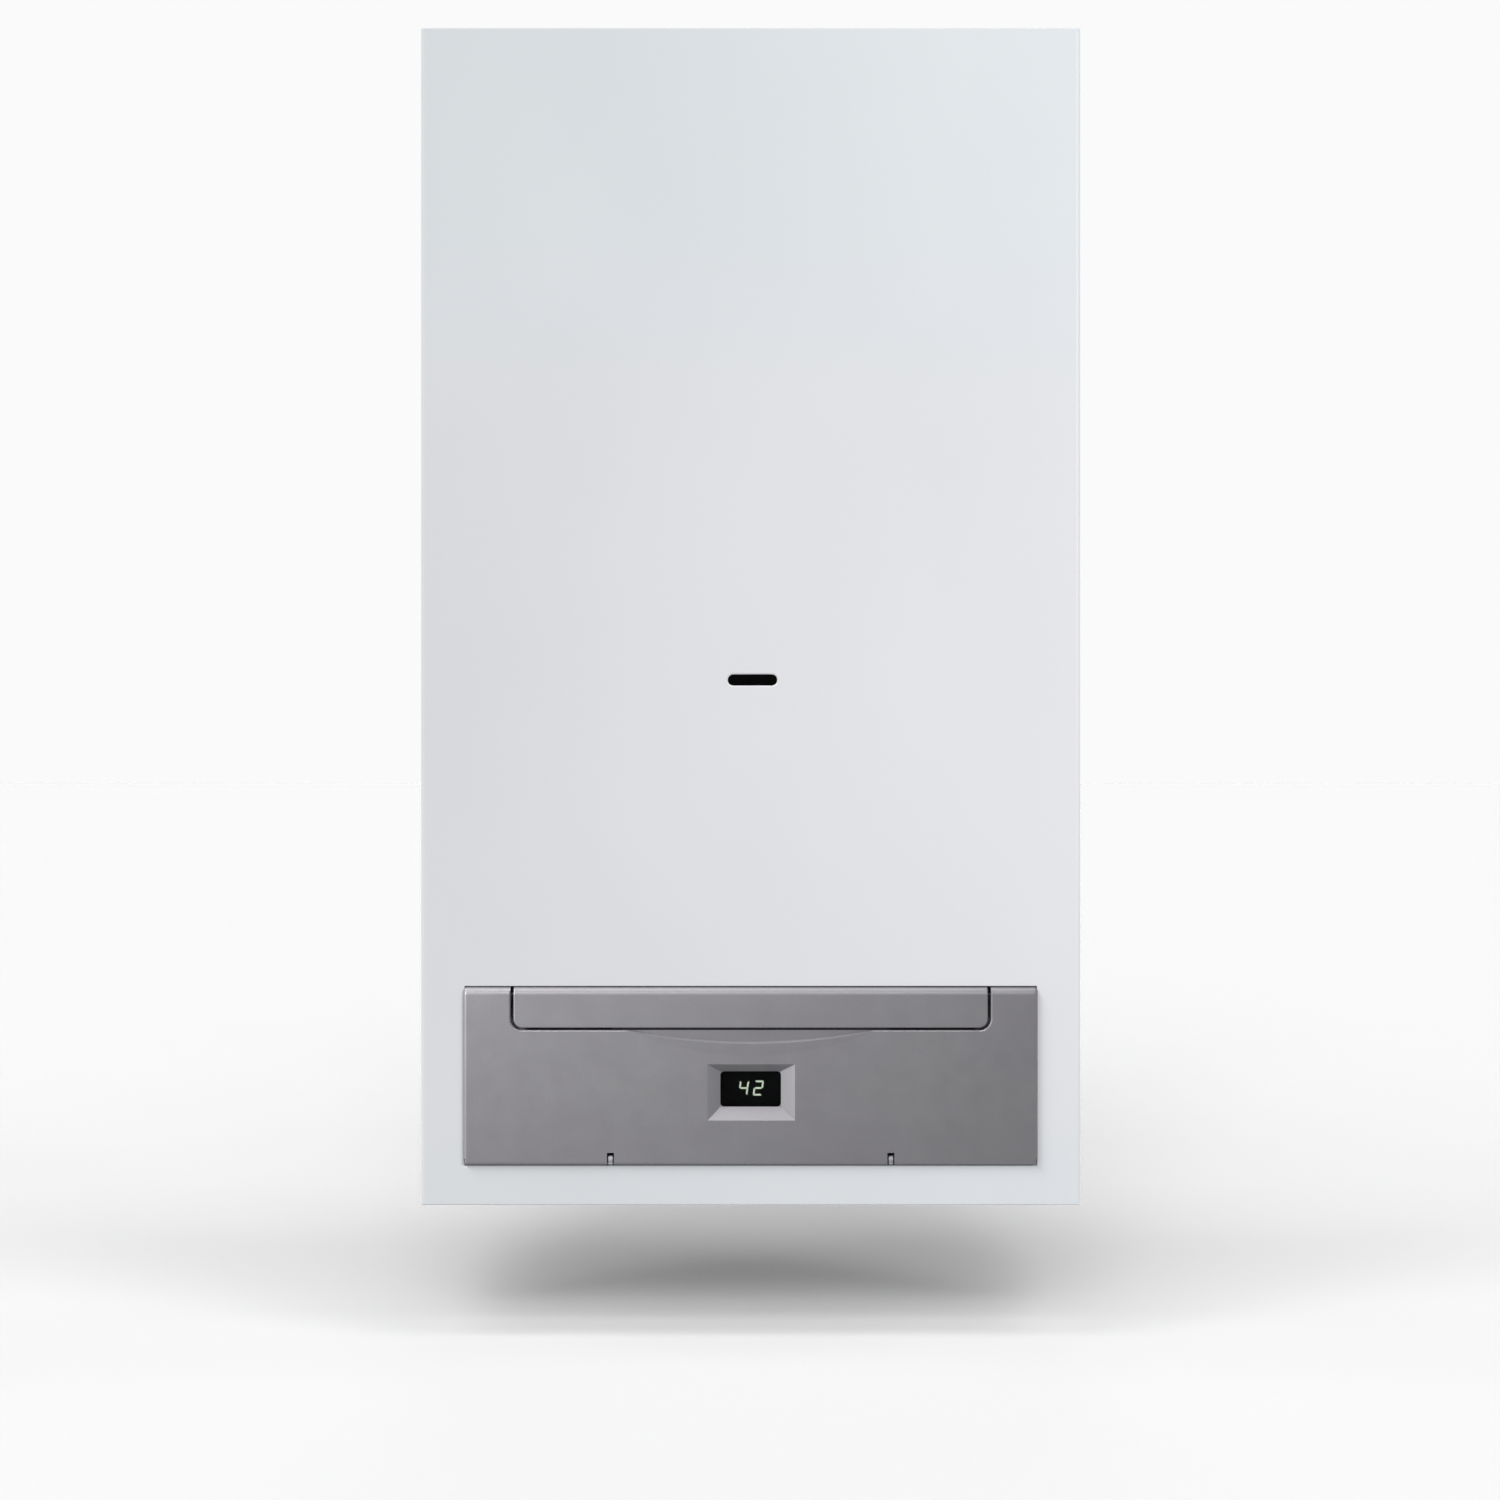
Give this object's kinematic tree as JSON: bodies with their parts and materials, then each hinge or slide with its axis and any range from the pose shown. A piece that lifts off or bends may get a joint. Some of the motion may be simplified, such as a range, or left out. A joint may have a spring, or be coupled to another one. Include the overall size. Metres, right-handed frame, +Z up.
{
  "type": "combi boiler",
  "caption": "Wall-hung fan-flued gas combi boiler with white steel casing, drop-down grey control door with recessed display, viewing slot and full internal assembly.",
  "frame": {"origin": "middle of the two wall bolts of the hanging bracket, on the wall plane", "axes": "+X to the right as seen from the front, +Y into the wall, +Z up"},
  "size_m": [0.4, 0.3029, 0.714],
  "materials": {
    "white_enamel": "semi-gloss white powder coat",
    "galvanised_sheet": "galvanised sheet steel",
    "zinc_screws": "zinc-plated steel",
    "silver_grey_plastic": "silver-grey painted plastic",
    "grey_plastic": "light grey moulded plastic",
    "dark_plastic": "dark moulded plastic",
    "black_plastic": "black moulded plastic",
    "steel_pins": "bright steel",
    "smoked_window": "smoked clear window",
    "lit_digits": "lit pale green segments",
    "circuit_board": "circuit board with components",
    "knob_plastic": "dark grey moulded knobs",
    "clear_lens": "clear glass",
    "needle_paint": "red painted needle",
    "seal_rubber": "black elastomer",
    "aluminised_steel": "aluminised sheet steel",
    "ceramic_board": "ceramic fibre board",
    "aluminium_cast": "die-cast aluminium",
    "electrode_ceramic": "white ceramic with steel rod",
    "copper": "copper",
    "red_paint": "red painted steel",
    "braided_hose": "braided stainless hose",
    "pump_paint": "dark grey-blue painted motor",
    "brass": "nickel-free brass",
    "stainless": "stainless steel plates",
    "red_plastic": "red moulded plastic",
    "blue_plastic": "blue moulded plastic",
    "white_plastic": "white acetal"
  },
  "bodies": {
    "casing": {"front_cover": "white_enamel", "side_panel_left": "white_enamel", "side_panel_right": "white_enamel", "top_panel": "galvanised_sheet", "back_frame": "galvanised_sheet", "hanging_bracket": "galvanised_sheet", "pipe_tray": "galvanised_sheet", "screws": "zinc_screws", "control_fascia": "grey_plastic", "control_box": "dark_plastic", "display_module": "black_plastic", "display_digits": "lit_digits", "control_pcb": "circuit_board", "pressure_gauge": "black_plastic", "gauge_lens": "clear_lens", "cable_gland": "dark_plastic", "sealed_chamber": "galvanised_sheet", "chamber_cover": "galvanised_sheet", "chamber_seal": "seal_rubber", "sight_glass": "clear_lens", "combustion_chamber": "aluminised_steel", "insulation_panels": "ceramic_board", "burner": "aluminised_steel", "burner_manifold": "aluminium_cast", "electrodes": "electrode_ceramic", "heat_exchanger": "copper", "flue_hood": "aluminised_steel", "fan_housing": "aluminised_steel", "fan_motor": "black_plastic", "flue_collar": "aluminium_cast", "pressure_switch": "black_plastic", "expansion_vessel": "red_paint", "vessel_diaphragm": "seal_rubber", "vessel_hose": "braided_hose", "gas_valve": "aluminium_cast", "gas_pipes": "copper", "pump_body": "dark_plastic", "pump_motor": "pump_paint", "flow_block": "brass", "return_block": "brass", "plate_heat_exchanger": "stainless", "diverter_motor": "black_plastic", "heating_pipes": "copper"},
    "door": {"control_door": "silver_grey_plastic", "hinge_pins": "steel_pins", "handle_spring": "steel_pins", "display_window": "smoked_window"},
    "pull_strip": {"door_handle": "silver_grey_plastic"},
    "heating_dial": {"heating_knob": "knob_plastic"},
    "hot_water_dial": {"hot_water_knob": "knob_plastic"},
    "mode_dial": {"mode_knob": "knob_plastic"},
    "reset": {"reset_button": "knob_plastic"},
    "needle": {"gauge_needle": "needle_paint"},
    "fan_rotor": {"fan_impeller": "aluminium_cast"},
    "pump_rotor": {"pump_impeller": "black_plastic"},
    "turbine": {"flow_turbine": "white_plastic"},
    "diverter_rod": {"diverter_plunger": "brass"},
    "gas_plunger": {"gas_valve_plunger": "steel_pins"},
    "safety_knob": {"safety_valve_knob": "red_plastic"},
    "filling_tap": {"filling_knob": "blue_plastic"}
  },
  "joints": [
    {"name": "door_hinge", "type": "hinge", "parent": "casing", "child": "door", "pos_m": [0, -0.2999, -0.6364], "axis": [1, 0, 0], "range_deg": [0, 90]},
    {"name": "pull_strip_hinge", "type": "hinge", "parent": "door", "child": "pull_strip", "pos_m": [0, -0.2976, -0.5363], "axis": [-1, 0, 0], "range_deg": [0, 20], "stiffness_Nm_per_rad": 0.12, "springref_deg": -11.46},
    {"name": "heating_dial_turn", "type": "hinge", "parent": "casing", "child": "heating_dial", "pos_m": [-0.128, -0.29, -0.588], "axis": [0, 1, 0], "range_deg": [-135, 135]},
    {"name": "hot_water_dial_turn", "type": "hinge", "parent": "casing", "child": "hot_water_dial", "pos_m": [-0.076, -0.29, -0.588], "axis": [0, 1, 0], "range_deg": [-135, 135]},
    {"name": "mode_dial_turn", "type": "hinge", "parent": "casing", "child": "mode_dial", "pos_m": [0.082, -0.29, -0.588], "axis": [0, 1, 0], "range_deg": [-60, 60]},
    {"name": "reset_press", "type": "slide", "parent": "casing", "child": "reset", "axis": [0, 1, 0], "range_m": [0, 0.002], "stiffness_N_per_m": 600, "springref_m": -0.001},
    {"name": "needle_turn", "type": "hinge", "parent": "casing", "child": "needle", "pos_m": [0.136, -0.29, -0.588], "axis": [0, 1, 0], "range_deg": [-101, 169]},
    {"name": "fan_spin", "type": "hinge", "parent": "casing", "child": "fan_rotor", "pos_m": [0.03, -0.2, -0.052], "axis": [0, 1, 0], "continuous": true},
    {"name": "pump_spin", "type": "hinge", "parent": "casing", "child": "pump_rotor", "pos_m": [0.12, -0.13, -0.512], "axis": [0, 1, 0], "continuous": true},
    {"name": "turbine_spin", "type": "hinge", "parent": "casing", "child": "turbine", "pos_m": [0.065, -0.11, -0.614], "axis": [0, 0, 1], "continuous": true},
    {"name": "diverter_travel", "type": "slide", "parent": "casing", "child": "diverter_rod", "axis": [0, 1, 0], "range_m": [0, 0.008]},
    {"name": "gas_plunger_lift", "type": "slide", "parent": "casing", "child": "gas_plunger", "axis": [0, 0, 1], "range_m": [0, 0.005], "stiffness_N_per_m": 120, "springref_m": -0.004},
    {"name": "safety_knob_turn", "type": "hinge", "parent": "casing", "child": "safety_knob", "pos_m": [0.166, -0.16, -0.584], "axis": [0, 1, 0], "range_deg": [0, 90]},
    {"name": "filling_tap_turn", "type": "hinge", "parent": "casing", "child": "filling_tap", "pos_m": [0.098, -0.11, -0.644], "axis": [0, 0, 1], "range_deg": [0, 270]}
  ]
}
